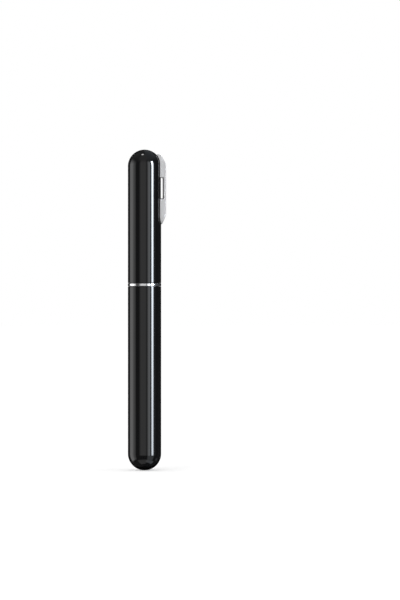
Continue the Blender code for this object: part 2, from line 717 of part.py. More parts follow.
def cap_shell(frame):
    """Shell over the needle: a dome, a flat behind the clip's bar and two slots for its tongues."""
    outline = arc(BODY_RADIUS, cap_dome, math.pi / 2, 0, DOME_STEPS)
    outline[0] = (0, cap_top)
    outline += [(BODY_RADIUS, cap_mouth + MOUTH_EDGE), (BODY_RADIUS - MOUTH_EDGE, cap_mouth)]
    outline += [(shell_bore + MOUTH_EDGE, cap_mouth), (shell_bore, cap_mouth + MOUTH_EDGE)]
    outline += arc(shell_bore, cap_dome, 0, math.pi / 2, INNER_DOME_STEPS)
    outline[-1] = (0, cap_dome + shell_bore)
    piece = turned("cap_shell", outline, SHELL_STEPS, GLOSS_BLACK, frame)

    depth, across = span(BODY_RADIUS - RELIEF_DEPTH, BODY_RADIUS + CUT_OVERRUN)
    length, middle = span(window_bottom, window_top)
    relief = block_mesh("clip_relief", (depth, 2 * BODY_RADIUS, length))
    combine(piece, "DIFFERENCE", add_tool("clip_relief", relief, frame, (across, 0, middle)))

    length, across = span(tongue_end, BODY_RADIUS + CUT_OVERRUN)
    size = (length, TONGUE_WIDTH + 2 * SEAT_GAP, TONGUE_HEIGHT + 2 * SEAT_GAP)
    mesh = block_mesh("tongue_slot", size)
    for index, side in enumerate((-TONGUE_SPACING / 2, TONGUE_SPACING / 2)):
        spot = (across, side, (tongue_bottom + tongue_top) / 2)
        combine(piece, "DIFFERENCE", add_tool(f"tongue_slot_{index}", mesh, frame, spot))
    return piece


def clip_side_outline():
    """The clip seen from the front, as (x, z) points, before its face and back are cut."""
    top_corner = (BODY_RADIUS + CLIP_PROUD - CLIP_TOP_SETBACK, clip_top)
    shoulder = (clip_face, clip_top - CLIP_TOP_SLOPE)
    knee = (clip_face, clip_bottom + CLIP_END_SLOPE)
    tip = (clip_inner, clip_bottom)
    toe = past(knee, tip)
    return [(0, clip_top), top_corner, past(top_corner, shoulder), past(tip, knee), toe, (0, toe[1])]


def clip_plan_outline():
    """The clip seen from +X, as (y, z) points: a round lower end, and a narrowed top."""
    half = CLIP_WIDTH / 2
    side = [(CLIP_TOP_WIDTH / 2, clip_top + CUT_OVERRUN)]
    side += [(CLIP_TOP_WIDTH / 2, clip_top - CLIP_TAPER_END), (half, clip_top - CLIP_TAPER_START)]
    for step in range(END_STEPS):
        angle = math.pi / 2 * step / END_STEPS
        across = half * math.cos(angle) ** (2 / END_POWER)
        down = CLIP_END_ROUND * math.sin(angle) ** (2 / END_POWER)
        side.append((across, clip_bottom + CLIP_END_ROUND - down))
    mirrored = [(-across, up) for across, up in reversed(side)]
    return side + [(0, clip_bottom)] + mirrored


def window_outline():
    """Section of the gap between bar and cap, as (x, z) points, round at its outer corners."""
    corners = [(window_top - WINDOW_ROUND, math.pi / 2, 0), (window_bottom + WINDOW_ROUND, 0, -math.pi / 2)]
    outline = [(shell_bore, window_top)]
    for centre, start, end in corners:
        for across, up in arc(WINDOW_ROUND, centre, start, end, ROUND_STEPS):
            outline.append((bar_inner - WINDOW_ROUND + across, up))
    outline.append((shell_bore, window_bottom))
    return outline


def clip_blank(name, frame):
    """The whole clip: its side and plan outlines crossed, cut to the cap and through the gap."""
    upright = (math.pi / 2, 0, 0)
    sideways = (math.pi / 2, 0, math.pi / 2)
    base = Vector((0, 0, clip_bottom))
    outline = [(across, up - clip_bottom) for across, up in clip_side_outline()]
    mesh = plate_mesh(name, outline, CLIP_WIDTH + 2 * CUT_OVERRUN)
    piece = bpy.data.objects.new(name, mesh)
    pieces.objects.link(piece)
    place(piece, frame, base)
    piece.rotation_euler = upright
    dress(piece, CLIP_GREY)

    length, across = span(-CUT_OVERRUN, clip_face)
    plan = plate_mesh(name + "_plan", clip_plan_outline(), length, CLIP_EDGE)
    combine(piece, "INTERSECT", add_tool(name + "_plan", plan, frame, (across, 0, 0), sideways))

    seat = [(0, cap_top + SEAT_GAP)]
    seat += arc(clip_inner, cap_dome, math.pi / 2, 0, DOME_STEPS)[1:]
    seat += [(clip_inner, cap_mouth), (0, cap_mouth)]
    cap_room = turned_mesh(name + "_cap_room", seat, SHELL_STEPS)
    combine(piece, "DIFFERENCE", add_tool(name + "_cap_room", cap_room, frame, (0, 0, 0)))

    window = plate_mesh(name + "_window", window_outline(), CLIP_WIDTH + 4 * CUT_OVERRUN)
    combine(piece, "DIFFERENCE", add_tool(name + "_window", window, frame, (0, 0, 0), upright))
    return piece


def trim_clip(piece, frame, low, high):
    """Cut away the stretch of the clip between two heights."""
    length, middle = span(low, high)
    size = (4 * BODY_RADIUS, 4 * BODY_RADIUS, length)
    name = piece.name + "_trim"
    combine(piece, "DIFFERENCE", add_tool(name, block_mesh(name, size), frame, (0, 0, middle)))


def clip_root(frame):
    """Fixed upper end of the clip, with two barbed tongues through the cap's wall."""
    piece = clip_blank("clip_root", frame)
    trim_clip(piece, frame, clip_bottom - 2 * CUT_OVERRUN, flex_height + SEAT_GAP / 2)
    anchor = (clip_inner + clip_face) / 2
    outline = [(tongue_end, tongue_top), (anchor, tongue_top), (anchor, tongue_bottom)]
    outline += [(barb_face, tongue_bottom), (barb_face, tongue_bottom - BARB_HEIGHT)]
    outline.append((tongue_end, tongue_bottom + BARB_HEIGHT))
    mesh = plate_mesh("clip_tongue", outline, TONGUE_WIDTH)
    for index, side in enumerate((-TONGUE_SPACING / 2, TONGUE_SPACING / 2)):
        tool = add_tool(f"clip_tongue_{index}", mesh, frame, (0, side, 0), (math.pi / 2, 0, 0))
        combine(piece, "UNION", tool)
    return piece


def clip_arm(frame):
    """Springy bar and pad of the clip, below the place where it bends."""
    piece = clip_blank("clip_arm", frame)
    trim_clip(piece, frame, flex_height - SEAT_GAP / 2, clip_top + 2 * CUT_OVERRUN)
    return piece


def build():
    """Make the five bodies, each on an empty that lies on its joint's axis."""
    seat_frame = add_frame("needle_seat_frame", (0, 0, seat_face))
    handle_frame = add_frame("pump_stroke_axis", (0, 0, 0), pump_stroke)
    valve_frame = add_frame("valve_lift_axis", (0, 0, ball_centre), VALVE_LIFT)
    cap_frame = add_frame("cap_pull_axis", (0, 0, cap_mouth), cap_travel)
    clip_frame = add_frame("clip_flex_axis", (flex_depth, 0, flex_height), CLIP_FLEX)
    for make in (needle_seat, accent_ring, cap_o_ring, barrel, barrel_o_ring, barrel_gland, stroke_bumper,
                 valve_seat, hub_washer, needle_hub, clamp_nut, needle):
        make(seat_frame)
    for make in (handle_shell, handle_bush, rod_anchor, piston_rod, piston, piston_cup, piston_washer,
                 piston_screw):
        make(handle_frame)
    for make in (valve_ball, valve_spring):
        make(valve_frame)
    for make in (cap_shell, clip_root):
        make(cap_frame)
    clip_arm(clip_frame)


clear_scene()
pieces = add_collection("air_pump_wine_opener")
cutters = add_collection("cutters")
build()
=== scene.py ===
"""Looks of the air pump wine opener: turned shells and metal parts, side clip and a small studio.

Every turned piece is made from its CAD node's own section, rounded at its corners and turned
finely about Z. The domed shells, the clip, the seals and the spring have outlines of their own.
Lengths are in metres and angles in radians, unless a name says otherwise.
"""

import json
import math

import bmesh
import bpy
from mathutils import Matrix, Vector


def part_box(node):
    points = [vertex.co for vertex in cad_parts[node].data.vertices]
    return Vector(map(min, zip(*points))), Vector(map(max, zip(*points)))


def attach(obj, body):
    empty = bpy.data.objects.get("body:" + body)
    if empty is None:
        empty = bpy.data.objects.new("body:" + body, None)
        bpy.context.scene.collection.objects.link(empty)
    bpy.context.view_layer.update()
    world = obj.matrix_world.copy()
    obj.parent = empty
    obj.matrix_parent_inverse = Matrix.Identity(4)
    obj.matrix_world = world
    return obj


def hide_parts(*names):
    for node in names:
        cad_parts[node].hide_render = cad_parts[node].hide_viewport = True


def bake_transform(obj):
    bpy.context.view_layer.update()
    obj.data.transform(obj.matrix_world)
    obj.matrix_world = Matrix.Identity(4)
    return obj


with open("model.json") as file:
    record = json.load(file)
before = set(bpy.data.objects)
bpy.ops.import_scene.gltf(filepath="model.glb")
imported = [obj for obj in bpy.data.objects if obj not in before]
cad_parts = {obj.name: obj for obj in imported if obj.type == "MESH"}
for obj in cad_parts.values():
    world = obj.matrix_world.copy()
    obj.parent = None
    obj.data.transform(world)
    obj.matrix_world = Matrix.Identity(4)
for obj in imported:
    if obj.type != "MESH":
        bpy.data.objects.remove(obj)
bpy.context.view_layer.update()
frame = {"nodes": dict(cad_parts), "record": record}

# Place of the object in the photo, in pixels of its 400 by 600 frame
FRAME_WIDTH_PX = 400
FRAME_HEIGHT_PX = 600
BODY_LEFT_PX = 127.92
BODY_RIGHT_PX = 161.16
FOOT_PX = 470.1

# Camera, whose lens and sensor are in millimetres
LENS = 200
SENSOR = 36
CAMERA_TURN = math.radians(-5.0)

# Shells
SHELL_WALL = 0.0014
SOCKET_WALL = 0.0016
SOCKET_FLOOR = 0.0080
END_FLAT_RADIUS = 0.0015
END_FLAT_EDGE = 0.0005
RIB_WALL = 0.0012
RIB_DROP = 0.0050
RIB_COUNT = 4
MOUTH_EDGE = 0.0003
SEAT_GAP = 0.0003

# Clip
CLIP_TOP_WIDTH = 0.0066
CLIP_TOP_SETBACK = 0.0034
CLIP_TOP_SLOPE = 0.0064
CLIP_END_SLOPE = 0.0059
CLIP_TAPER_START = 0.0068
CLIP_TAPER_END = 0.0008
CLIP_END_ROUND = 0.0055
CLIP_END_POWER = 2.5
CLIP_EDGE = 0.0005
CLIP_INNER_EDGE = 0.0002
CLIP_BEND_ROUND = 0.0016
CLIP_CROWN = 0.0012
BAR_THICKNESS = 0.0015
WINDOW_LENGTH = 0.0139
WINDOW_ROUND = 0.0007
WINDOW_CHAMFER = 0.0003
RELIEF_DEPTH = 0.0004
TONGUE_WIDTH = 0.0018
TONGUE_HEIGHT = 0.0026
TONGUE_SPACING = 0.0044
BARB_LENGTH = 0.0009
BARB_HEIGHT = 0.0005
CLIP_TOE = 0.0002

# Small corners of the turned parts, and the needle seat's collars
RING_EDGE = 0.00012
PART_EDGE = 0.0002
FINE_EDGE = 0.0001
COLLAR_SETBACK = 0.0002
COLLAR_SHARE = 0.8

# Holes, slots, seals and the spring
CAP_SEAL_RADIUS = 0.0005
BARREL_SEAL_RADIUS = 0.00045
VENT_RADIUS = 0.0006
VENT_COUNT = 4
SIDE_HOLE_RADIUS = 0.0004
SIDE_HOLE_DROP = 0.0069
SCREW_SLOT_WIDTH = 0.0007
SCREW_SLOT_DEPTH = 0.0009
NUT_SLOT_WIDTH = 0.0010
NUT_SLOT_DEPTH = 0.0009
SPRING_WIRE = 0.00015
SPRING_TURNS = 5
SPRING_END_TURNS = 0.75
SPRING_CLOSE_SHARE = 0.06

# Chamfer at the foot of the clip's gap, wider there, and the painted shade that darkens its faces
SILL_SHARE = 1.7
SILL_SLANT = 0.1
SILL_SHADE_MARK = "sill"
# Near-black colour of the painted shade on that chamfer
SILL_PAINTED_SHADE = (0.06, 0.06, 0.065)

# Fineness of the meshes, and the small lengths and angles that make them sound
SHELL_STEPS = 128
CORE_STEPS = 72
DOME_STEPS = 32
ROUND_STEPS = 3
SEAL_STEPS = 20
SPRING_STEPS = 24
HOLE_STEPS = 24
WIRE_STEPS = 12
BEND_STEPS = 8
TIP_STEPS = 14
CLIP_FACE_STEPS = 5
CLIP_STATION = 0.0004
CORNER_SHARE = 0.42
HOLD = 0.0003
WELD = 0.000001
CUT_OVERRUN = 0.0010
STRAIGHT_ANGLE = math.radians(0.5)
SHARP_ANGLE = math.radians(40)

# Fine grain, broad patches and depth of relief of each material
SURFACE_SIZES = {
    "gloss_black": (0.00025, 0.006, 0.00000004),
    "clip_grey": (0.00016, 0.004, 0.000002),
    "satin_black": (0.00012, 0.003, 0.000004),
    "nylon": (0.00012, 0.002, 0.000006),
    "chrome": (0.00008, 0.002, 0.0000004),
    "steel": (0.00006, 0.003, 0.0000015),
    "aluminium": (0.00014, 0.002, 0.000002),
    "brass": (0.00010, 0.0016, 0.000002),
    "rubber": (0.00007, 0.0012, 0.000006),
}

# The two tones of each material, which its patches mix
SURFACE_TONES = {
    "gloss_black": ((0.0036, 0.0036, 0.0040), (0.0046, 0.0046, 0.0050)),
    "clip_grey": ((0.565, 0.565, 0.575), (0.585, 0.585, 0.595)),
    "satin_black": ((0.016, 0.016, 0.018), (0.028, 0.028, 0.030)),
    "nylon": ((0.70, 0.70, 0.65), (0.79, 0.79, 0.75)),
    "chrome": ((0.84, 0.84, 0.85), (0.90, 0.90, 0.905)),
    "steel": ((0.60, 0.60, 0.61), (0.68, 0.68, 0.685)),
    "aluminium": ((0.72, 0.73, 0.74), (0.80, 0.81, 0.82)),
    "brass": ((0.74, 0.53, 0.24), (0.62, 0.43, 0.19)),
    "rubber": ((0.020, 0.020, 0.021), (0.040, 0.040, 0.041)),
}

# Least and most roughness of each material
SURFACE_ROUGHNESS = {
    "gloss_black": (0.03, 0.04),
    "clip_grey": (0.46, 0.62),
    "satin_black": (0.28, 0.42),
    "nylon": (0.38, 0.52),
    "chrome": (0.05, 0.09),
    "steel": (0.14, 0.28),
    "aluminium": (0.24, 0.42),
    "brass": (0.20, 0.34),
    "rubber": (0.55, 0.75),
}

# Parts of the noises' range that are used, how far some noises are drawn out along the axis,
# the faint wave of the casing and the glow inside the nylon
GRAIN_SPAN = (0.3, 0.7)
HAZE_SPAN = (0.35, 0.65)
MARK_SPAN = (0.62, 0.75)
MARK_ROUGHNESS = 0.02
MARK_STRETCH = (1, 1, 0.04)
FLOW_STRETCH = (1, 1, 0.3)
STREAK_STRETCH = (1, 1, 0.02)
DRAWN_STRETCH = (1, 1, 0.012)
DRAWN_HAZE_STRETCH = (1, 1, 0.2)
WAVE_SIZE = 0.014
WAVE_DEPTH = 0.0000015
NYLON_GLOW = 0.25
NYLON_GLOW_REACH = (0.0009, 0.0008, 0.0006)

# Studio: levels, sizes and places
AMBIENT_LEVEL = 0.88
FLOOR_LIFT = 0.30
FLOOR_SIZE = 12
FLOOR_COLOUR = (0.82, 0.82, 0.82)
FLOOR_ROUGHNESS = 0.9
SURROUND_RADIUS = 1.2
BASE_LEVEL = 0.004
TOP_LAMP_PLACE = (-0.150, -0.03, 0.987)
TOP_LAMP_RADIUS = math.radians(4.5)
TOP_LAMP_BLUR = math.radians(2.5)
TOP_LAMP_LEVEL = 9.0
KEY_SIZE = 0.6
KEY_ENERGY = 3.0
KEY_PLACE = (-0.7, -1.1, 0.9)
COOL_COLOUR = (0.84, 0.915, 1.0)
COOL_DEGREES = (8.0, 50.0)
VIEW_REACH_SHARE = 20

record = frame["record"]
body_of = {node: body for body, nodes in record["behaviour"]["bodies"].items() for node in nodes}
slot_of = {row["node"]: row["material_slot"] for row in record["subparts"]}


def low(node):
    """Lowest corner of a CAD node."""
    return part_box(node)[0]


def high(node):
    """Highest corner of a CAD node."""
    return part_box(node)[1]


body_radius = high("handle_shell").y
shell_bore = body_radius - SHELL_WALL
cap_dome = high("cap_shell").z - body_radius
handle_dome = math.sqrt(body_radius ** 2 - END_FLAT_RADIUS ** 2)
clip_top = high("clip_root").z
clip_bottom = low("clip_arm").z
clip_face = high("clip_arm").x
clip_half = high("clip_arm").y
clip_inner = body_radius + SEAT_GAP
bar_inner = clip_face - BAR_THICKNESS
flex_height = (low("clip_root").z + high("clip_arm").z) / 2
window_top = flex_height + WINDOW_ROUND + SEAT_GAP / 2
window_bottom = window_top - WINDOW_LENGTH
tongue_height = (window_top + cap_dome) / 2
ball_radius = (high("valve_ball").z - low("valve_ball").z) / 2
middle_height = high("cap_shell").z / 2

pixel = 2 * body_radius / (BODY_RIGHT_PX - BODY_LEFT_PX)
camera_side = (FRAME_WIDTH_PX - BODY_LEFT_PX - BODY_RIGHT_PX) / 2 * pixel
camera_height = (FOOT_PX - FRAME_HEIGHT_PX / 2) * pixel
camera_distance = FRAME_HEIGHT_PX * pixel * LENS / SENSOR
view_turn = CAMERA_TURN + math.atan(camera_side / camera_distance)


# Node helpers for the materials

def add_node(tree, kind, **settings):
    """A new shader node with some of its settings."""
    node = tree.nodes.new(kind)
    for name, value in settings.items():
        setattr(node, name, value)
    return node


def feed(tree, socket, value):
    """Link a socket to another node's output, or set it to a plain value."""
    if isinstance(value, bpy.types.NodeSocket):
        tree.links.new(value, socket)
    else:
        socket.default_value = value


def calculate(tree, operation, first, second=0.0):
    """Output of a Math node."""
    node = add_node(tree, "ShaderNodeMath", operation=operation)
    feed(tree, node.inputs[0], first)
    feed(tree, node.inputs[1], second)
    return node.outputs[0]


def spread(tree, value, start, end, first, last, smooth=False):
    """Output of a Map Range node: from start to end becomes from first to last."""
    kind = "SMOOTHSTEP" if smooth else "LINEAR"
    node = add_node(tree, "ShaderNodeMapRange", interpolation_type=kind)
    for socket, item in zip(node.inputs, (value, start, end, first, last)):
        feed(tree, socket, item)
    return node.outputs[0]


def object_place(tree, stretch=(1, 1, 1)):
    """The piece's own coordinates, stretched along X, Y and Z."""
    place = add_node(tree, "ShaderNodeTexCoord")
    mapping = add_node(tree, "ShaderNodeMapping")
    mapping.inputs["Scale"].default_value = stretch
    tree.links.new(place.outputs["Object"], mapping.inputs["Vector"])
    return mapping.outputs["Vector"]


def turned_place(tree):
    """Radius and height as coordinates, so that a noise makes rings about the axis."""
    place = add_node(tree, "ShaderNodeTexCoord")
    parts = add_node(tree, "ShaderNodeSeparateXYZ")
    tree.links.new(place.outputs["Object"], parts.inputs[0])
    squares = []
    for axis in (0, 1):
        squares.append(calculate(tree, "POWER", calculate(tree, "ABSOLUTE", parts.outputs[axis]), 2.0))
    radius = calculate(tree, "SQRT", calculate(tree, "ADD", *squares))
    ring = add_node(tree, "ShaderNodeCombineXYZ")
    tree.links.new(radius, ring.inputs[0])
    tree.links.new(parts.outputs[2], ring.inputs[2])
    return ring.outputs[0]


def grain(tree, place, size, detail=2.0, roughness=0.5):
    """Noise whose blobs are about as large as a size."""
    node = add_node(tree, "ShaderNodeTexNoise")
    tree.links.new(place, node.inputs["Vector"])
    node.inputs["Scale"].default_value = 1 / size
    node.inputs["Detail"].default_value = detail
    node.inputs["Roughness"].default_value = roughness
    return node.outputs["Fac"]


def relief(tree, height, depth, under=None):
    """Output of a Bump node of a real depth, on top of another one."""
    node = add_node(tree, "ShaderNodeBump")
    node.inputs["Distance"].default_value = depth
    tree.links.new(height, node.inputs["Height"])
    if under is not None:
        tree.links.new(under, node.inputs["Normal"])
    return node.outputs[0]


def two_tones(tree, share, first, second):
    """Mix of two colours by a share."""
    node = add_node(tree, "ShaderNodeMix", data_type="RGBA")
    tree.links.new(share, node.inputs["Factor"])
    node.inputs[6].default_value = (*first, 1)
    node.inputs[7].default_value = (*second, 1)
    return node.outputs[2]


def new_material(name, metallic=0.0):
    """A material with its node tree and Principled shader."""
    material = bpy.data.materials.new(name)
    material.use_nodes = True
    shader = material.node_tree.nodes["Principled BSDF"]
    shader.inputs["Metallic"].default_value = metallic
    return material, material.node_tree, shader


def dress(tree, shader, name, patches, polish, bumps):
    """Give a material its tones, roughness and relief, each from a noise, and return the mixed tone."""
    tone = two_tones(tree, patches, *SURFACE_TONES[name])
    feed(tree, shader.inputs["Base Color"], tone)
    feed(tree, shader.inputs["Roughness"], spread(tree, polish, *GRAIN_SPAN, *SURFACE_ROUGHNESS[name]))
    feed(tree, shader.inputs["Normal"], relief(tree, bumps, SURFACE_SIZES[name][-1]))
    return tone


# Materials, one for each slot

def gloss_black():
    """Polished black casing: a faint moulded wave, polishing haze and hair-fine marks."""
    material, tree, shader = new_material("gloss_black")
    fine, broad, depth = SURFACE_SIZES["gloss_black"]
    place = object_place(tree)
    haze = grain(tree, place, broad, 3.0)
    marks = grain(tree, object_place(tree, MARK_STRETCH), fine, 2.0)
    worn = spread(tree, marks, *MARK_SPAN, 0.0, MARK_ROUGHNESS)
    clean = spread(tree, haze, *HAZE_SPAN, *SURFACE_ROUGHNESS["gloss_black"])
    feed(tree, shader.inputs["Roughness"], calculate(tree, "ADD", clean, worn))
    feed(tree, shader.inputs["Base Color"], two_tones(tree, haze, *SURFACE_TONES["gloss_black"]))
    wave = relief(tree, grain(tree, place, WAVE_SIZE, 0.0), WAVE_DEPTH)
    feed(tree, shader.inputs["Normal"], relief(tree, marks, depth, wave))
    return material


def clip_grey():
    """Light grey matt plastic with a fine spark-eroded grain, and painted shade where the mesh is marked.
    """
    material, tree, shader = new_material("clip_grey")
    fine, broad, _ = SURFACE_SIZES["clip_grey"]
    place = object_place(tree)
    pits = grain(tree, place, fine, 3.0, 0.6)
    patches = grain(tree, place, broad, 3.0)
    plain = dress(tree, shader, "clip_grey", patches, pits, pits)
    # Painted shade: the marked chamfer faces at the foot of the gap get a near-black base colour
    mark = add_node(tree, "ShaderNodeAttribute", attribute_name=SILL_SHADE_MARK)
    sill_shade_mix = add_node(tree, "ShaderNodeMix", data_type="RGBA")
    tree.links.new(mark.outputs["Fac"], sill_shade_mix.inputs["Factor"])
    tree.links.new(plain, sill_shade_mix.inputs[6])
    sill_shade_mix.inputs[7].default_value = (*SILL_PAINTED_SHADE, 1)
    feed(tree, shader.inputs["Base Color"], sill_shade_mix.outputs[2])
    return material


def satin_black():
    """Satin black plastic of the needle seat, with the fine rings of a turned tool."""
    material, tree, shader = new_material("satin_black")
    fine, broad, _ = SURFACE_SIZES["satin_black"]
    rings = grain(tree, turned_place(tree), fine, 2.0)
    patches = grain(tree, object_place(tree), broad, 3.0)
    dress(tree, shader, "satin_black", patches, rings, rings)
    return material


def nylon():
    """Natural nylon: milky, with flow marks and a soft grain."""
    material, tree, shader = new_material("nylon")
    fine, broad, _ = SURFACE_SIZES["nylon"]
    flow = grain(tree, object_place(tree, FLOW_STRETCH), broad, 4.0)
    pits = grain(tree, object_place(tree), fine, 2.0)
    dress(tree, shader, "nylon", flow, pits, pits)
    shader.inputs["Subsurface Weight"].default_value = NYLON_GLOW
    shader.inputs["Subsurface Radius"].default_value = NYLON_GLOW_REACH
    shader.inputs["Subsurface Scale"].default_value = 1.0
    return material


def chrome():
    """Polished plating with the faint rings that polishing leaves."""
    material, tree, shader = new_material("chrome", 1.0)
    fine, broad, _ = SURFACE_SIZES["chrome"]
    rings = grain(tree, turned_place(tree), fine, 3.0)
    haze = grain(tree, object_place(tree), broad, 3.0)
    dress(tree, shader, "chrome", haze, haze, rings)
    return material


def steel():
    """Ground stainless steel: fine streaks along the axis."""
    material, tree, shader = new_material("steel", 1.0)
    fine, broad, _ = SURFACE_SIZES["steel"]
    streaks = grain(tree, object_place(tree, STREAK_STRETCH), fine, 3.0, 0.6)
    haze = grain(tree, object_place(tree), broad, 3.0)
    dress(tree, shader, "steel", haze, streaks, streaks)
    return material


def aluminium():
    """Drawn tube: long draw lines with a soft satin."""
    material, tree, shader = new_material("aluminium", 1.0)
    fine, broad, _ = SURFACE_SIZES["aluminium"]
    lines = grain(tree, object_place(tree, DRAWN_STRETCH), fine, 3.0, 0.6)
    haze = grain(tree, object_place(tree, DRAWN_HAZE_STRETCH), broad, 3.0)
    dress(tree, shader, "aluminium", haze, lines, lines)
    return material


def brass():
    """Turned brass: rings from the tool and a little dulling."""
    material, tree, shader = new_material("brass", 1.0)
    fine, broad, _ = SURFACE_SIZES["brass"]
    rings = grain(tree, turned_place(tree), fine, 2.0)
    dull = grain(tree, object_place(tree), broad, 4.0)
    dress(tree, shader, "brass", dull, dull, rings)
    return material


def rubber():
    """Black rubber with a dusty bloom and a fine grain."""
    material, tree, shader = new_material("rubber")
    fine, broad, _ = SURFACE_SIZES["rubber"]
    place = object_place(tree)
    bloom = grain(tree, place, broad, 4.0)
    pits = grain(tree, place, fine, 2.0)
    dress(tree, shader, "rubber", bloom, bloom, pits)
    return material


looks = {make.__name__: make() for make in (gloss_black, clip_grey, satin_black, nylon, chrome, steel,
                                            aluminium, brass, rubber)}


# Outlines

def arc(radius, centre, start, end, steps):
    """Points (radius, height) on an arc about a centre on the axis, between two angles."""
    angles = [start + (end - start) * step / steps for step in range(steps + 1)]
    return [(radius * math.cos(angle), centre + radius * math.sin(angle)) for angle in angles]


def everything(shape):
    """All of a bmesh's geometry."""
    return shape.verts[:] + shape.edges[:] + shape.faces[:]


def walk(neighbours):
    """The vertices of a chain in order, from one end if it has ends."""
    ends = [vert for vert, near in neighbours.items() if len(near) == 1]
    path = [ends[0] if ends else next(iter(neighbours))]
    seen = set(path)
    while True:
        onward = [vert for vert in neighbours[path[-1]] if vert not in seen]
        if not onward:
            return path
        path.append(onward[0])
        seen.add(onward[0])


def turns(before, here, after):
    """Whether a path changes its direction at a point."""
    first, second = Vector(here) - Vector(before), Vector(after) - Vector(here)
    return first.length > WELD and second.length > WELD and first.angle(second) > STRAIGHT_ANGLE


def section_of(node, azimuth):
    """Corners (radius, height) of a turned CAD node's section in the half plane at an azimuth.

    A solid that reaches the axis gives a path from the axis to the axis, and a ring a loop.
    """
    shape = bmesh.new()
    shape.from_mesh(frame["nodes"][node].data)
    bmesh.ops.remove_doubles(shape, verts=shape.verts, dist=WELD)
    outward = Vector((math.cos(azimuth), math.sin(azimuth), 0))
    across = Vector((-outward.y, outward.x, 0))
    bmesh.ops.bisect_plane(shape, geom=everything(shape), dist=WELD, plane_co=(0, 0, 0), plane_no=outward,
                           clear_inner=True)
    cut = bmesh.ops.bisect_plane(shape, geom=everything(shape), dist=WELD, plane_co=(0, 0, 0),
                                 plane_no=across)
    neighbours = {}
    for edge in cut["geom_cut"]:
        if isinstance(edge, bmesh.types.BMEdge):
            for vert in edge.verts:
                neighbours.setdefault(vert, []).append(edge.other_vert(vert))
    points = [(max(vert.co.dot(outward), 0), vert.co.z) for vert in walk(neighbours)]
    shape.free()
    count = len(points)
    closed = not reaches_axis(points)
    kept = []
    for index, point in enumerate(points):
        at_end = not closed and index in (0, count - 1)
        if at_end or turns(points[index - 1], point, points[(index + 1) % count]):
            kept.append(point)
    return kept


def reaches_axis(outline):
    """Whether an outline starts and ends on the axis."""
    return outline[0][0] < WELD and outline[-1][0] < WELD


def corner_curve(before, here, after, radius, steps):
    """Points of a smooth curve that cuts a corner and starts within a radius of it."""
    here = Vector(here)
    back, onward = Vector(before) - here, Vector(after) - here
    reach = min(radius, back.length * CORNER_SHARE, onward.length * CORNER_SHARE)
    start, end = here + back.normalized() * reach, here + onward.normalized() * reach
    shares = [step / steps for step in range(steps + 1)]
    return [start.lerp(here, share).lerp(here.lerp(end, share), share) for share in shares]


def rounded(outline, radius):
    """The outline with a small curve at each corner."""
    closed = not reaches_axis(outline)
    result = []
    for index, point in enumerate(outline):
        if not closed and index in (0, len(outline) - 1):
            result.append(Vector(point))
        else:
            after = outline[(index + 1) % len(outline)]
            result += corner_curve(outline[index - 1], point, after, radius, ROUND_STEPS)
    return held(result, closed)


def held(points, closed):
    """The path with extra points near the ends of its long straights, which keep their shading straight."""
    result = []
    for index, point in enumerate(points):
        result.append(tuple(point))
        if not closed and index == len(points) - 1:
            break
        onward = points[(index + 1) % len(points)] - point
        if onward.length > 4 * HOLD:
            step = onward.normalized() * HOLD
            result += [tuple(point + step), tuple(point + onward - step)]
    return result


# Meshes

def turned_ring(shape, radius, height, steps):
    """Vertices round the axis at a radius and height, or one for all the steps if it is on the axis."""
    if radius < WELD:
        return [shape.verts.new((0, 0, height))] * steps
    angles = [math.tau * step / steps for step in range(steps)]
    places = [(radius * math.cos(angle), radius * math.sin(angle), height) for angle in angles]
    return [shape.verts.new(place) for place in places]


def turned_mesh(name, outline, steps):
    """Closed mesh of an outline turned about Z."""
    shape = bmesh.new()
    rings = [turned_ring(shape, radius, height, steps) for radius, height in outline]
    pairs = list(zip(rings, rings[1:]))
    if not reaches_axis(outline):
        pairs.append((rings[-1], rings[0]))
    for first, second in pairs:
        for index in range(steps):
            onward = (index + 1) % steps
            corners = dict.fromkeys((first[index], first[onward], second[onward], second[index]))
            shape.faces.new(list(corners))
    return finished_mesh(name, shape)


def finished_mesh(name, shape):
    """Mesh of a bmesh, welded and with its faces turned outwards."""
    bmesh.ops.remove_doubles(shape, verts=shape.verts, dist=WELD)
    bmesh.ops.dissolve_degenerate(shape, edges=shape.edges, dist=WELD)
    bmesh.ops.recalc_face_normals(shape, faces=shape.faces)
    mesh = bpy.data.meshes.new(name)
    shape.to_mesh(mesh)
    shape.free()
    return mesh


def block_mesh(size, place):
    """Mesh of a box of a size, about a centre."""
    shape = bmesh.new()
    bmesh.ops.create_cube(shape, size=1)
    bmesh.ops.scale(shape, vec=size, verts=shape.verts)
    bmesh.ops.translate(shape, vec=place, verts=shape.verts)
    return finished_mesh("block", shape)


def drill_mesh(radius, length, place, along_y=False):
    """Mesh of a round bar along Z, or along Y, about a centre."""
    shape = bmesh.new()
    bmesh.ops.create_cone(shape, cap_ends=True, segments=HOLE_STEPS, radius1=radius, radius2=radius,
                          depth=length)
    if along_y:
        turn = Vector((0, 0, 1)).rotation_difference(Vector((0, 1, 0))).to_matrix()
        bmesh.ops.rotate(shape, cent=(0, 0, 0), matrix=turn, verts=shape.verts)
    bmesh.ops.translate(shape, vec=place, verts=shape.verts)
    return finished_mesh("drill", shape)


def plate_mesh(outline, thickness, turn=0.0, middle=0.0):
    """Mesh of an (across, height) outline made a plate, which stands on the axis at an azimuth."""
    shape = bmesh.new()
    out = Vector((math.cos(turn), math.sin(turn), 0))
    side = Vector((-out.y, out.x, 0))
    faces = []
    for offset in (middle - thickness / 2, middle + thickness / 2):
        corners = [shape.verts.new(out * across + side * offset + Vector((0, 0, height)))
                   for across, height in outline]
        faces.append(corners)
    shape.faces.new(faces[0])
    shape.faces.new(list(reversed(faces[1])))
    count = len(outline)
    for index in range(count):
        onward = (index + 1) % count
        shape.faces.new((faces[0][index], faces[1][index], faces[1][onward], faces[0][onward]))
    return finished_mesh("plate", shape)


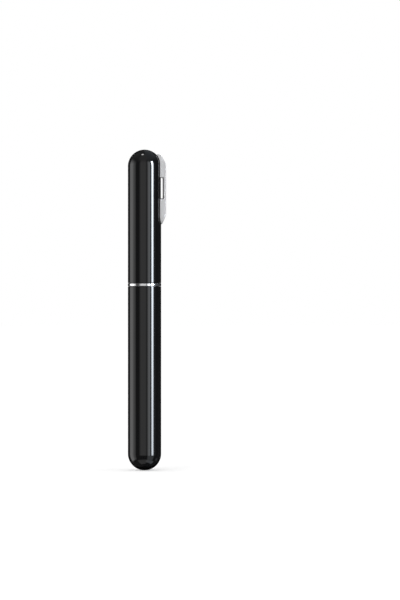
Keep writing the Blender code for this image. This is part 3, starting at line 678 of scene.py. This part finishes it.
def combined(mesh, operation, tools):
    """The mesh after it is cut by, or joined with, other meshes."""
    items = [bpy.data.objects.new(part.name, part) for part in (mesh, *tools)]
    for item in items:
        bpy.context.scene.collection.objects.link(item)
    for tool in items[1:]:
        boolean = items[0].modifiers.new(tool.name, "BOOLEAN")
        boolean.operation = operation
        boolean.solver = "EXACT"
        boolean.object = tool
    view = bpy.context.evaluated_depsgraph_get()
    result = bpy.data.meshes.new_from_object(items[0].evaluated_get(view))
    for item in items:
        bpy.data.objects.remove(item, do_unlink=True)
    shape = bmesh.new()
    shape.from_mesh(result)
    return finished_mesh(mesh.name, shape)


def add_piece(mesh, *nodes, name=None, rides=True):
    """A piece that stands for some CAD nodes, in their material and on their body."""
    slot = slot_of[nodes[0]]
    piece = bpy.data.objects.new("fine_" + (name or nodes[0]), mesh)
    bpy.context.scene.collection.objects.link(piece)
    mesh.materials.clear()
    mesh.materials.append(looks[slot])
    mesh.shade_smooth()
    mesh.set_sharp_from_angle(angle=SHARP_ANGLE)
    even = piece.modifiers.new("even_normals", "WEIGHTED_NORMAL")
    even.keep_sharp = True
    if rides:
        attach(piece, body_of[nodes[0]])
    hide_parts(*nodes)
    return piece


def fine_mesh(node, edge, steps=CORE_STEPS, azimuth=math.pi):
    """Mesh of a turned CAD node, with round corners."""
    return turned_mesh(node, rounded(section_of(node, azimuth), edge), steps)


# Shells

def mouth(outer, inner, height, up):
    """Rounded lip of a shell's open end, from its outside to its bore."""
    side = 1 if up else -1
    points = []
    halves = ((outer - MOUTH_EDGE, 0, math.pi / 2), (inner + MOUTH_EDGE, math.pi / 2, math.pi))
    for radius, start, end in halves:
        for across, rise in arc(MOUTH_EDGE, 0, start, end, 2 * ROUND_STEPS):
            points.append((radius + across, height + side * (rise - MOUTH_EDGE)))
    return points


def cap_shell():
    """Short domed shell: a flat behind the clip's bar, and two slots for the clip's tongues."""
    outline = arc(body_radius, cap_dome, math.pi / 2, 0, DOME_STEPS)
    outline[0] = (0, outline[0][1])
    outline += mouth(body_radius, shell_bore, low("cap_shell").z, up=False)
    outline += arc(shell_bore, cap_dome, 0, math.pi / 2, DOME_STEPS)
    outline[-1] = (0, outline[-1][1])
    mesh = turned_mesh("cap_shell", held([Vector(point) for point in outline], False), SHELL_STEPS)
    depth = body_radius - shell_bore + 2 * CUT_OVERRUN
    size = (depth, TONGUE_WIDTH + 2 * SEAT_GAP, TONGUE_HEIGHT + 2 * SEAT_GAP)
    middle = (shell_bore + body_radius) / 2
    cuts = [block_mesh(size, (middle, side * TONGUE_SPACING / 2, tongue_height)) for side in (-1, 1)]
    size = (2 * RELIEF_DEPTH, 2 * body_radius, WINDOW_LENGTH)
    cuts.append(block_mesh(size, (body_radius, 0, (window_bottom + window_top) / 2)))
    add_piece(combined(mesh, "DIFFERENCE", cuts), "cap_shell")


def handle_shell():
    """Long domed shell of the handle, with the ribbed socket for the rod's anchor."""
    socket_radius = high("rod_anchor").x + SEAT_GAP
    socket_top = high("rod_anchor").z
    socket_outer = socket_radius + SOCKET_WALL
    flat_angle = math.acos((END_FLAT_RADIUS + END_FLAT_EDGE) / body_radius)
    inside = [(0, SOCKET_FLOOR), (socket_radius, SOCKET_FLOOR), (socket_radius, socket_top)]
    inside.append((socket_outer, socket_top))
    inside += arc(shell_bore, handle_dome, -math.acos(socket_outer / shell_bore), 0, DOME_STEPS)
    lip = reversed(mouth(body_radius, shell_bore, high("handle_shell").z, up=True))
    outside = arc(body_radius, handle_dome, 0, -flat_angle, DOME_STEPS)
    outside += [(END_FLAT_RADIUS, 0), (0, 0)]
    outline = [Vector(point) for point in [*inside, *lip, *outside]]
    mesh = turned_mesh("handle_shell", held(outline, False), SHELL_STEPS)

    middle = shell_bore + SHELL_WALL / 2
    rib_inner = (socket_radius + socket_outer) / 2
    rib_top = socket_top - RIB_DROP
    rib = arc(middle, handle_dome, -math.acos(rib_inner / middle), 0, DOME_STEPS)
    rib += [(middle, rib_top), (rib_inner, rib_top)]
    ribs = [plate_mesh(rib, RIB_WALL, math.tau * (index + 1 / 2) / RIB_COUNT) for index in range(RIB_COUNT)]
    add_piece(combined(mesh, "UNION", ribs), "handle_shell")


# Clip: one springy piece, lofted from its top to its tip

def bent(corners):
    """A path of (value, height) points with its corners rounded."""
    points = [Vector(corners[0])]
    for before, here, after in zip(corners, corners[1:], corners[2:]):
        points += corner_curve(before, here, after, CLIP_BEND_ROUND, BEND_STEPS)
    return points + [Vector(corners[-1])]


def reading(path, height):
    """The value of a falling path of (value, height) points at a height."""
    for upper, lower in zip(path, path[1:]):
        if upper.y >= height >= lower.y:
            drop = upper.y - lower.y
            share = (upper.y - height) / drop if drop > WELD else 0
            return upper.x + (lower.x - upper.x) * share
    return path[-1].x if height < path[-1].y else path[0].x


clip_outer_path = bent([(clip_face - CLIP_TOP_SETBACK, clip_top), (clip_face, clip_top - CLIP_TOP_SLOPE),
                        (clip_face, clip_bottom + CLIP_END_SLOPE), (clip_inner + CLIP_TOE, clip_bottom)])
clip_half_path = bent([(CLIP_TOP_WIDTH / 2, clip_top), (CLIP_TOP_WIDTH / 2, clip_top - CLIP_TAPER_END),
                       (clip_half, clip_top - CLIP_TAPER_START), (clip_half, clip_bottom)])


def clip_half_width(height):
    """Half of the clip's width at a height; its lower end is a rounded tongue."""
    down = 1 - (height - clip_bottom) / CLIP_END_ROUND
    if down <= 0:
        return reading(clip_half_path, height)
    return clip_half * max(1 - down ** CLIP_END_POWER, 0) ** (1 / CLIP_END_POWER)


def seat_depth(across, height):
    """Depth of the clip's inner side, which follows the cap and its dome and is rounded off at the top."""
    rise = max(height - cap_dome, 0)
    crown = max(1 - (clip_top - height) / CLIP_CROWN, 0)
    seat = math.sqrt(max(clip_inner ** 2 - across ** 2 - rise ** 2, 0))
    return seat + CLIP_CROWN * (1 - math.sqrt(1 - crown ** 2))


def quarter(depth, across, out, over, edge):
    """Points inside a quarter round that starts along X and ends along Y."""
    points = []
    for step in range(1, ROUND_STEPS + 1):
        angle = math.pi / 2 * step / (ROUND_STEPS + 1)
        points.append((depth + out * edge * math.cos(angle), across + over * edge * math.sin(angle)))
    return points


def clip_ring(height, inset=0.0):
    """Points (depth, across) round the clip at a height, from the middle of its face."""
    half = clip_half_width(height) - inset
    outer = reading(clip_outer_path, height) - inset
    edge = min(CLIP_EDGE, half * CORNER_SHARE, (outer - seat_depth(0, height)) * CORNER_SHARE)
    inner_edge = min(CLIP_INNER_EDGE, edge)
    flat, seat_half = half - edge, half - inner_edge
    seat_side = seat_depth(half, height) + inset
    shares = [step / CLIP_FACE_STEPS for step in range(1, CLIP_FACE_STEPS + 1)]
    points = [(outer, flat * share) for share in shares]
    points += quarter(outer - edge, flat, 1, 1, edge)
    depths = (outer - edge, (outer - edge + seat_side + inner_edge) / 2, seat_side + inner_edge)
    points += [(depth, half) for depth in depths]
    points += reversed(quarter(seat_side + inner_edge, seat_half, -1, 1, inner_edge))
    for share in reversed(shares):
        points.append((seat_depth(seat_half * share, height) + inset, seat_half * share))
    left = [(depth, -across) for depth, across in reversed(points)]
    return [(outer, 0.0), *points, (seat_depth(0, height) + inset, 0.0), *left]


def clip_stations():
    """Heights and insets of the clip's rings, which lie closer together at its ends."""
    rows = []
    for step in range(ROUND_STEPS + 2):
        angle = math.pi / 2 * step / (ROUND_STEPS + 1)
        drop, inset = 1 - math.cos(angle), 1 - math.sin(angle)
        rows.append((clip_top - CLIP_INNER_EDGE * drop, CLIP_INNER_EDGE * inset))
    length = clip_top - CLIP_INNER_EDGE - clip_bottom - CLIP_END_ROUND
    count = round(length / CLIP_STATION)
    rows += [(clip_top - CLIP_INNER_EDGE - length * step / count, 0.0) for step in range(1, count + 1)]
    for step in range(1, TIP_STEPS):
        angle = math.pi / 2 * step / TIP_STEPS
        rows.append((clip_bottom + CLIP_END_ROUND * (1 - math.sin(angle) ** (2 / CLIP_END_POWER)), 0.0))
    return rows


def lofted_mesh(name, rings):
    """Closed mesh through rings of points, with a flat face at each end."""
    shape = bmesh.new()
    loops = [[shape.verts.new(point) for point in ring] for ring in rings]
    for first, second in zip(loops, loops[1:]):
        for index in range(len(first)):
            onward = (index + 1) % len(first)
            shape.faces.new((first[index], first[onward], second[onward], second[index]))
    for loop in (loops[0], loops[-1]):
        shape.faces.new(loop)
    return finished_mesh(name, shape)


def window_ring(side, grow):
    """Outline of the gap between bar and cap at a place across the clip, larger by some length.

    It grows most at its lower end, where the chamfer is widest.
    """
    centre = bar_inner - WINDOW_ROUND
    radius = WINDOW_ROUND + grow
    stretch = (WINDOW_ROUND + grow * SILL_SHARE) / radius
    outline = [(shell_bore, window_top + grow), (shell_bore, window_bottom - grow * SILL_SHARE)]
    outline += [(centre + across, window_bottom + WINDOW_ROUND + up * stretch) for across, up in
                arc(radius, 0, -math.pi / 2, 0, BEND_STEPS)]
    outline += [(centre + across, up) for across, up in
                arc(radius, window_top - WINDOW_ROUND, 0, math.pi / 2, BEND_STEPS)]
    return [(depth, side, height) for depth, height in outline]


def window_mesh():
    """Mesh that cuts the gap between bar and cap, with a chamfer at both ends."""
    inner, outer = clip_half - WINDOW_CHAMFER, clip_half + CUT_OVERRUN
    widest = WINDOW_CHAMFER + CUT_OVERRUN
    rings = ((-outer, widest), (-inner, 0.0), (inner, 0.0), (outer, widest))
    return lofted_mesh("window", [window_ring(side, grow) for side, grow in rings])


def paint_shade_on_sill(mesh):
    """Mark the chamfer at the foot of the gap, where the clip's material paints shade."""
    values = []
    for face in mesh.polygons:
        slanted = SILL_SLANT < abs(face.normal.y) < 1 - SILL_SLANT
        near = window_bottom - WINDOW_CHAMFER * SILL_SHARE < face.center.z < window_bottom + WINDOW_ROUND
        beside = face.center.x < bar_inner + WINDOW_CHAMFER
        outside = abs(face.center.y) > clip_half - WINDOW_CHAMFER
        values.append(1.0 if slanted and near and beside and outside else 0.0)
    mesh.attributes.new(SILL_SHADE_MARK, "FLOAT", "FACE").data.foreach_set("value", values)


def tongue_outline():
    """Section of one of the clip's barbed tongues, as (depth, height) points."""
    low_side, high_side = tongue_height - TONGUE_HEIGHT / 2, tongue_height + TONGUE_HEIGHT / 2
    root = (clip_inner + clip_face) / 2
    end = low("clip_root").x
    barb = end + BARB_LENGTH
    return [(end, high_side), (root, high_side), (root, low_side), (barb, low_side),
            (barb, low_side - BARB_HEIGHT), (end, low_side + BARB_HEIGHT)]


def side_clip():
    """The whole clip, root and arm in one moulding and one fixed piece; the real arm bends at the top of
    its bar.
    """
    rings = [[(depth, across, height) for depth, across in clip_ring(height, inset)]
             for height, inset in clip_stations()]
    blank = lofted_mesh("side_clip", rings)
    opened = combined(blank, "DIFFERENCE", [window_mesh()])
    places = (-TONGUE_SPACING / 2, TONGUE_SPACING / 2)
    tongues = [plate_mesh(tongue_outline(), TONGUE_WIDTH, middle=place) for place in places]
    mesh = combined(opened, "UNION", tongues)
    paint_shade_on_sill(mesh)
    piece = add_piece(mesh, "clip_root", "clip_arm", name="clip", rides=False)
    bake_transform(piece)


# Turned pieces

def turned_pieces():
    """The plain turned pieces, each from its node's own section."""
    for node, edge in (("accent_ring", RING_EDGE), ("barrel", PART_EDGE), ("stroke_bumper", PART_EDGE),
                       ("valve_seat", FINE_EDGE), ("hub_washer", FINE_EDGE), ("needle_hub", FINE_EDGE),
                       ("rod_anchor", FINE_EDGE), ("piston_rod", FINE_EDGE), ("piston", PART_EDGE),
                       ("piston_cup", FINE_EDGE), ("piston_washer", FINE_EDGE)):
        add_piece(fine_mesh(node, edge), node)


def round_places(radius, height):
    """Places of the vents, evenly round the axis and the first half a step from +X."""
    angles = [math.tau * (index + 1 / 2) / VENT_COUNT for index in range(VENT_COUNT)]
    return [(radius * math.cos(angle), radius * math.sin(angle), height) for angle in angles]


def low_radius(node):
    """Radius of a turned ring's bore."""
    return min(radius for radius, height in section_of(node, math.pi))


def collar_mesh(bottom, top):
    """Mesh of a thin collar of the needle seat."""
    outer, inner = body_radius - COLLAR_SETBACK, low_radius("barrel") - 2 * SEAT_GAP
    outline = [(inner, bottom), (outer, bottom), (outer, top), (inner, top)]
    return turned_mesh("collar", outline, SHELL_STEPS)


def needle_seat():
    """Needle seat, with a collar in the seam on each side of the ring."""
    bottom, top = low("accent_ring").z, high("accent_ring").z
    reach = (low("cap_shell").z - top) * COLLAR_SHARE
    collars = [collar_mesh(top, top + reach), collar_mesh(bottom - reach, bottom)]
    add_piece(combined(fine_mesh("needle_seat", PART_EDGE), "UNION", collars), "needle_seat")


def handle_bush():
    """Guide ring in the handle's mouth, with air flutes along its bore."""
    bottom, top = low("handle_bush").z, high("handle_bush").z
    drills = [drill_mesh(VENT_RADIUS, top - bottom + 2 * CUT_OVERRUN, spot)
              for spot in round_places(low_radius("handle_bush"), (bottom + top) / 2)]
    blank = fine_mesh("handle_bush", PART_EDGE, SHELL_STEPS)
    add_piece(combined(blank, "DIFFERENCE", drills), "handle_bush")


def barrel_gland():
    """End piece of the barrel, with air vents through its floor."""
    outline = section_of("barrel_gland", math.pi)
    hole = low_radius("barrel_gland")
    bottom = low("barrel_gland").z
    top = max(height for radius, height in outline if radius < hole + WELD)
    middle = (hole + low_radius("barrel")) / 2
    drills = [drill_mesh(VENT_RADIUS, top - bottom + 2 * CUT_OVERRUN, spot)
              for spot in round_places(middle, (bottom + top) / 2)]
    blank = fine_mesh("barrel_gland", PART_EDGE, SHELL_STEPS)
    add_piece(combined(blank, "DIFFERENCE", drills), "barrel_gland")


def piston_screw():
    """Slotted screw at the piston's end."""
    mesh = fine_mesh("piston_screw", FINE_EDGE, azimuth=math.pi / 2)
    top = high("piston_screw").z
    width = 2 * (high("piston_screw").x + CUT_OVERRUN)
    slot = block_mesh((width, SCREW_SLOT_WIDTH, 2 * SCREW_SLOT_DEPTH), (0, 0, top))
    add_piece(combined(mesh, "DIFFERENCE", [slot]), "piston_screw")


def clamp_nut():
    """Round nut with a driver slot."""
    mesh = fine_mesh("clamp_nut", FINE_EDGE, azimuth=math.pi / 2)
    width = 2 * (high("clamp_nut").x + CUT_OVERRUN)
    slot = block_mesh((width, NUT_SLOT_WIDTH, 2 * NUT_SLOT_DEPTH), (0, 0, high("clamp_nut").z))
    add_piece(combined(mesh, "DIFFERENCE", [slot]), "clamp_nut")


def needle():
    """Hollow needle with its two side holes."""
    drill = drill_mesh(SIDE_HOLE_RADIUS, 2 * high("needle").x + 2 * CUT_OVERRUN,
                       (0, 0, high("needle").z - SIDE_HOLE_DROP), along_y=True)
    add_piece(combined(fine_mesh("needle", FINE_EDGE), "DIFFERENCE", [drill]), "needle")


def seal(node, section):
    """Ring seal with a round section."""
    centre = (low(node).z + high(node).z) / 2
    radius = high(node).x - section
    outline = []
    for step in range(SEAL_STEPS):
        angle = math.tau * step / SEAL_STEPS
        outline.append((radius + section * math.cos(angle), centre + section * math.sin(angle)))
    add_piece(turned_mesh(node, outline, SHELL_STEPS), node)


def valve_ball():
    """Ball of the check valve."""
    centre = low("valve_ball").z + ball_radius
    outline = arc(ball_radius, centre, math.pi / 2, -math.pi / 2, SPRING_STEPS)
    outline[0] = (0, outline[0][1])
    outline[-1] = (0, outline[-1][1])
    add_piece(turned_mesh("valve_ball", outline, CORE_STEPS), "valve_ball")


def spring_rise(share):
    """Share of a spring's height at a share of its length; its end turns lie close."""
    end = SPRING_END_TURNS / SPRING_TURNS
    close = SPRING_CLOSE_SHARE
    if share < end:
        return close * share / end
    if share > 1 - end:
        return 1 - close * (1 - share) / end
    return close + (1 - 2 * close) * (share - end) / (1 - 2 * end)


def valve_spring():
    """Light coil from the needle's hub to the ball, built at its rest length; the mesh does not shorten as
    the ball lifts.
    """
    radius = high("valve_spring").x - SPRING_WIRE
    rise = math.sqrt((ball_radius + SPRING_WIRE) ** 2 - radius ** 2)
    bottom = low("valve_ball").z + ball_radius + rise
    top = low("needle_hub").z - SPRING_WIRE
    count = SPRING_TURNS * SPRING_STEPS
    rings = []
    for step in range(count + 1):
        turn = math.tau * step / SPRING_STEPS
        out = Vector((math.cos(turn), math.sin(turn), 0))
        centre = out * radius + Vector((0, 0, bottom + (top - bottom) * spring_rise(step / count)))
        angles = [math.tau * index / WIRE_STEPS for index in range(WIRE_STEPS)]
        rings.append([centre + SPRING_WIRE * (out * math.cos(angle) + Vector((0, 0, math.sin(angle))))
                      for angle in angles])
    piece = add_piece(lofted_mesh("valve_spring", rings), "valve_spring", rides=False)
    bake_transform(piece)


# Studio

def stage_object(name, mesh, material):
    """A stage object in its material."""
    item = bpy.data.objects.new(name, mesh)
    bpy.context.scene.collection.objects.link(item)
    mesh.materials.append(material)
    return item


def seen_rays(tree):
    """1 for camera, glossy and transmission rays, and 0 for the others."""
    path = add_node(tree, "ShaderNodeLightPath")
    total = calculate(tree, "ADD", path.outputs["Is Camera Ray"], path.outputs["Is Glossy Ray"])
    return calculate(tree, "ADD", total, path.outputs["Is Transmission Ray"])


def world_light():
    """Even soft light from all round, in front of a white background."""
    world = bpy.data.worlds.new("studio")
    bpy.context.scene.world = world
    world.use_nodes = True
    tree = world.node_tree
    feed(tree, tree.nodes["Background"].inputs["Strength"],
         spread(tree, seen_rays(tree), 0.0, 1.0, AMBIENT_LEVEL, 1.0))
    tree.nodes["Background"].inputs["Color"].default_value = (1, 1, 1, 1)


def floor():
    """Plain pale floor, which keeps the object's soft shadow and goes down with the handle's end."""
    material, tree, shader = new_material("floor")
    shader.inputs["Base Color"].default_value = (*FLOOR_COLOUR, 1)
    shader.inputs["Roughness"].default_value = FLOOR_ROUGHNESS
    shader.inputs["Specular IOR Level"].default_value = 0.0
    shader.inputs["Emission Color"].default_value = (1, 1, 1, 1)
    feed(tree, shader.inputs["Emission Strength"], spread(tree, seen_rays(tree), 0.0, 1.0, 0.0, FLOOR_LIFT))
    shape = bmesh.new()
    bmesh.ops.create_grid(shape, x_segments=1, y_segments=1, size=FLOOR_SIZE)
    mesh = finished_mesh("floor", shape)
    item = stage_object("floor", mesh, material)
    item.visible_glossy = False
    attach(item, body_of["handle_shell"])


def soft_band(tree, value, start, start_blur, end, end_blur):
    """Share that rises softly at start and falls softly at end."""
    rise = spread(tree, value, start - start_blur, start + start_blur, 0.0, 1.0, smooth=True)
    fall = spread(tree, value, end - end_blur, end + end_blur, 1.0, 0.0, smooth=True)
    return calculate(tree, "MULTIPLY", rise, fall)


# Soft boxes, in degrees to the right of the camera and above the horizon. Each side is a place and
# its blur; then come the levels at both ends, and whether the level runs across or up
PANELS = {
    "front_haze": ((-140, 8, 134, 10), (-90, 1, 90, 1), (0.080, 0.060), "across"),
    "left_rear": ((-119, 5, -88, 4), (-36, 4, 26, 14), (1.35, 2.00), "across"),
    "left_side": ((-88, 4, -63, 3), (-36, 4, 26, 14), (1.42, 0.42), "across"),
    "front_panel": ((-32, 10, 13, 9), (-15, 4, 38, 16), (0.60, 0.60), "across"),
    "cool_band": ((21, 6, 39, 3), (-16, 4, 33, 9), (1.60, 2.60), "across"),
    "strip_rim": ((38, 2, 48, 2), (-14, 3, 30, 3), (0.45, 0.45), "across"),
    "bright_strip": ((49.5, 2, 63.5, 2), (-15, 2, 33, 2), (10.0, 51.0), "up"),
    "strip_tail": ((64, 2, 84, 10), (-15, 4, 30, 8), (0.50, 0.05), "across"),
    "right_tail": ((22, 6, 68, 5), (-44, 4, -16, 3), (0.75, 0.75), "across"),
    "low_left": ((-60, 8, 14, 6), (-73, 4, -43, 4), (0.50, 0.50), "across"),
    "low_right": ((14, 6, 90, 8), (-62, 4, -45, 3), (1.0, 1.0), "across"),
    "right_patch": ((94, 4, 113, 3), (-36, 3, -25, 3), (0.30, 0.30), "across"),
    "ceiling_left": ((-190, 8, -50, 12), (44, 14, 91, 1), (0.10, 0.12), "across"),
    "ceiling_right": ((-50, 12, 190, 8), (40, 14, 91, 1), (0.31, 0.31), "across"),
}


def panel_light(tree, across, rise):
    """Sum of the soft boxes' levels at a direction."""
    total = BASE_LEVEL
    for sides, ends, (first, last), run in PANELS.values():
        share = calculate(tree, "MULTIPLY", soft_band(tree, across, *sides), soft_band(tree, rise, *ends))
        along, (start, _, end, _) = (across, sides) if run == "across" else (rise, ends)
        level = spread(tree, along, start, end, first, last)
        total = calculate(tree, "ADD", calculate(tree, "MULTIPLY", share, level), total)
    return total


def top_lamp(tree, place):
    """Level of the small round lamp over the object."""
    scaled = add_node(tree, "ShaderNodeVectorMath", operation="NORMALIZE")
    tree.links.new(place, scaled.inputs[0])
    dot = add_node(tree, "ShaderNodeVectorMath", operation="DOT_PRODUCT")
    tree.links.new(scaled.outputs[0], dot.inputs[0])
    dot.inputs[1].default_value = Vector(TOP_LAMP_PLACE).normalized()
    edges = [math.cos(TOP_LAMP_RADIUS + blur) for blur in (TOP_LAMP_BLUR, -TOP_LAMP_BLUR)]
    return spread(tree, dot.outputs["Value"], *edges, 0.0, TOP_LAMP_LEVEL, smooth=True)


def surround_material():
    """Dark material that glows where the soft boxes and the round lamp are, cooler on the right."""
    material = bpy.data.materials.new("surround")
    material.use_nodes = True
    tree = material.node_tree
    tree.nodes.clear()
    place = add_node(tree, "ShaderNodeTexCoord").outputs["Object"]
    parts = add_node(tree, "ShaderNodeSeparateXYZ")
    tree.links.new(place, parts.inputs[0])
    east, north, up = parts.outputs
    towards = calculate(tree, "MULTIPLY", north, -1.0)
    across = calculate(tree, "DEGREES", calculate(tree, "ARCTAN2", east, towards))
    slope = calculate(tree, "DIVIDE", up, SURROUND_RADIUS)
    rise = calculate(tree, "DEGREES", calculate(tree, "ARCSINE", slope))
    glow = add_node(tree, "ShaderNodeEmission")
    total = calculate(tree, "ADD", panel_light(tree, across, rise), top_lamp(tree, place))
    feed(tree, glow.inputs["Strength"], total)
    cool = spread(tree, across, *COOL_DEGREES, 0.0, 1.0)
    feed(tree, glow.inputs["Color"], two_tones(tree, cool, (1.0, 1.0, 1.0), COOL_COLOUR))
    output = add_node(tree, "ShaderNodeOutputMaterial")
    tree.links.new(glow.outputs[0], output.inputs["Surface"])
    return material


def surround():
    """Studio surround with its soft boxes, which only reflections show."""
    shape = bmesh.new()
    bmesh.ops.create_uvsphere(shape, u_segments=SHELL_STEPS, v_segments=SHELL_STEPS // 2,
                              radius=SURROUND_RADIUS)
    item = stage_object("surround", finished_mesh("surround", shape), surround_material())
    item.location = (0, 0, middle_height)
    item.rotation_euler = (0, 0, view_turn)
    for name in ("camera", "diffuse", "shadow", "transmission", "volume_scatter"):
        setattr(item, "visible_" + name, False)


def key_lamp():
    """Broad soft lamp, front left and above."""
    data = bpy.data.lights.new("key", "AREA")
    data.size = KEY_SIZE
    data.energy = KEY_ENERGY
    lamp = bpy.data.objects.new("key", data)
    bpy.context.scene.collection.objects.link(lamp)
    lamp.location = KEY_PLACE
    aim = Vector((0, 0, middle_height)) - lamp.location
    lamp.rotation_euler = aim.to_track_quat("-Z", "Y").to_euler()
    lamp.visible_glossy = False


def camera():
    """Long lens at the photo's place, level with the object."""
    data = bpy.data.cameras.new("camera")
    data.lens = LENS
    data.sensor_width = SENSOR
    item = bpy.data.objects.new("camera", data)
    bpy.context.scene.collection.objects.link(item)
    right = Vector((math.cos(CAMERA_TURN), math.sin(CAMERA_TURN), 0))
    back = Vector((math.sin(CAMERA_TURN), -math.cos(CAMERA_TURN), 0))
    item.location = right * camera_side + back * camera_distance + Vector((0, 0, camera_height))
    item.rotation_euler = (-back).to_track_quat("-Z", "Y").to_euler()
    data.clip_end = camera_distance * VIEW_REACH_SHARE
    bpy.context.scene.camera = item


# The whole scene

cap_shell()
handle_shell()
side_clip()
turned_pieces()
needle_seat()
handle_bush()
barrel_gland()
piston_screw()
clamp_nut()
needle()
seal("cap_o_ring", CAP_SEAL_RADIUS)
seal("barrel_o_ring", BARREL_SEAL_RADIUS)
valve_ball()
valve_spring()
world_light()
floor()
surround()
key_lamp()
camera()
bpy.context.scene.view_settings.view_transform = "Standard"

bpy.context.view_layer.update()
